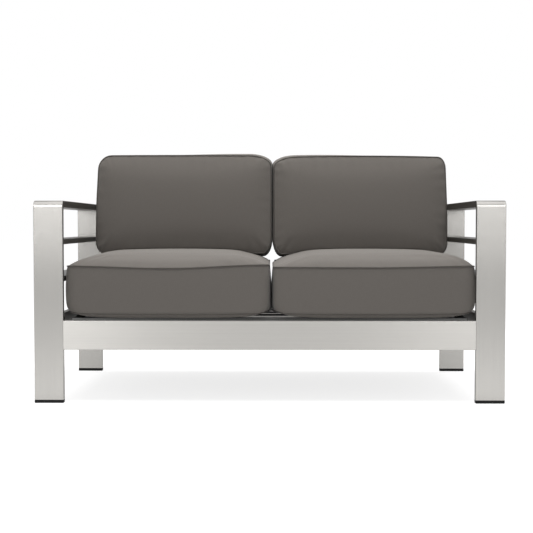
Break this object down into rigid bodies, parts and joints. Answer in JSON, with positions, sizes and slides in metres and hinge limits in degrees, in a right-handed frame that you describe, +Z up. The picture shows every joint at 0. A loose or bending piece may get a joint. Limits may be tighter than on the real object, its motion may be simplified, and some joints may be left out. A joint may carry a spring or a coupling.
{
  "type": "patio loveseat",
  "caption": "Low loveseat with wide flat metal arms and slatted sides, a strapped seat deck, and loose boxed seat and back cushions with piped edges.",
  "frame": {"origin": "on the floor, at the centre of the footprint", "axes": "+Z up, +Y from the front of the seat to its back, +X to the right as seen from the front"},
  "size_m": [1.416, 0.75, 0.7829],
  "materials": {
    "brushed_aluminium": "brushed along each tube, clear anodised, satin",
    "deck_aluminium": "mill finish, satin",
    "black_fasteners": "black oxide",
    "bright_fasteners": "zinc plated",
    "black_plastic": "fine matte texture",
    "black_webbing": "flat woven elastic webbing",
    "grey_fabric": "plain tight weave, water-resistant, matte",
    "foam": "open-cell foam with a fibre wrap"
  },
  "bodies": {
    "frame": {"back_rail": "brushed_aluminium", "back_rail_screws": "black_fasteners", "back_rail_spigots": "brushed_aluminium", "bracket_bolts": "black_fasteners", "crossbar_bolts": "black_fasteners", "crossbar_nuts": "black_fasteners", "deck_end_plugs": "black_plastic", "deck_front_tube": "deck_aluminium", "deck_left_crossbar": "deck_aluminium", "deck_left_tube": "deck_aluminium", "deck_rear_tube": "deck_aluminium", "deck_right_crossbar": "deck_aluminium", "deck_right_tube": "deck_aluminium", "front_seat_rail": "brushed_aluminium", "left_arm": "brushed_aluminium", "left_front_bracket": "deck_aluminium", "left_front_foot": "black_plastic", "left_front_leg": "brushed_aluminium", "left_lower_slat": "brushed_aluminium", "left_rear_bracket": "deck_aluminium", "left_rear_foot": "black_plastic", "left_rear_leg": "brushed_aluminium", "left_side_rail": "brushed_aluminium", "left_upper_slat": "brushed_aluminium", "rear_seat_rail": "brushed_aluminium", "right_arm": "brushed_aluminium", "right_front_bracket": "deck_aluminium", "right_front_foot": "black_plastic", "right_front_leg": "brushed_aluminium", "right_lower_slat": "brushed_aluminium", "right_rear_bracket": "deck_aluminium", "right_rear_foot": "black_plastic", "right_rear_leg": "brushed_aluminium", "right_side_rail": "brushed_aluminium", "right_upper_slat": "brushed_aluminium", "rivet_nuts": "bright_fasteners", "seat_strap_1": "black_webbing", "seat_strap_2": "black_webbing", "seat_strap_3": "black_webbing", "seat_strap_4": "black_webbing", "seat_strap_5": "black_webbing", "seat_strap_6": "black_webbing"},
    "left_seat_cushion": {"left_seat_cover": "grey_fabric", "left_seat_foam": "foam"},
    "left_back_cushion": {"left_back_cover": "grey_fabric", "left_back_foam": "foam"},
    "right_seat_cushion": {"right_seat_cover": "grey_fabric", "right_seat_foam": "foam"},
    "right_back_cushion": {"right_back_cover": "grey_fabric", "right_back_foam": "foam"}
  },
  "joints": [
    {"name": "left_seat_cushion_lift", "type": "slide", "parent": "frame", "child": "left_seat_cushion", "axis": [0, 0, 1], "range_m": [0, 0.37]},
    {"name": "left_back_cushion_lift", "type": "slide", "parent": "left_seat_cushion", "child": "left_back_cushion", "axis": [0, 0, 1], "range_m": [0, 0.2]},
    {"name": "right_seat_cushion_lift", "type": "slide", "parent": "frame", "child": "right_seat_cushion", "axis": [0, 0, 1], "range_m": [0, 0.37]},
    {"name": "right_back_cushion_lift", "type": "slide", "parent": "right_seat_cushion", "child": "right_back_cushion", "axis": [0, 0, 1], "range_m": [0, 0.2]}
  ]
}
